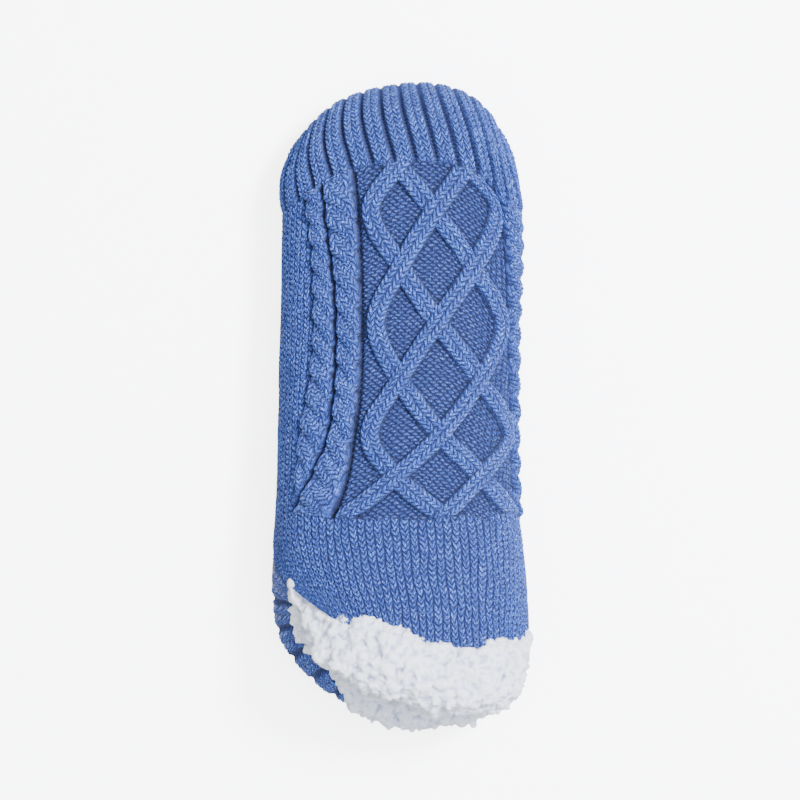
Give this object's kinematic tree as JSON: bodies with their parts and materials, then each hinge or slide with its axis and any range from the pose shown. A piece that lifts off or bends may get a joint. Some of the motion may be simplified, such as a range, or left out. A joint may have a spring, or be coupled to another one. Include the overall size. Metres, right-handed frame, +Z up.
{
  "type": "slipper sock",
  "caption": "Low slipper sock with a cabled knit outside, a thick fleece bag lining that stands out as a rim at the collar, ribbed toe and heel, and rubber grip dots on the sole.",
  "frame": {"origin": "centre of the bounding box in plan, on the floor that the grip dots stand on", "axes": "+Y from toe to heel, +X towards the side with the collar's forward notch, +Z up"},
  "size_m": [0.0966, 0.2422, 0.0669],
  "materials": {
    "knit": "matte heathered acrylic knit",
    "fleece": "matte curly fleece pile",
    "grip": "satin silicone rubber"
  },
  "bodies": {
    "root": {"knit_upper": "knit", "fleece_lining": "fleece", "grip_dot_01": "grip", "grip_dot_02": "grip", "grip_dot_03": "grip", "grip_dot_04": "grip", "grip_dot_05": "grip", "grip_dot_06": "grip", "grip_dot_07": "grip", "grip_dot_08": "grip", "grip_dot_09": "grip", "grip_dot_10": "grip", "grip_dot_11": "grip", "grip_dot_12": "grip", "grip_dot_13": "grip", "grip_dot_14": "grip", "grip_dot_15": "grip", "grip_dot_16": "grip", "grip_dot_17": "grip", "grip_dot_18": "grip", "grip_dot_19": "grip", "grip_dot_20": "grip", "grip_dot_21": "grip", "grip_dot_22": "grip", "grip_dot_23": "grip", "grip_dot_24": "grip", "grip_dot_25": "grip", "grip_dot_26": "grip", "grip_dot_27": "grip", "grip_dot_28": "grip", "grip_dot_29": "grip", "grip_dot_30": "grip"}
  },
  "joints": []
}
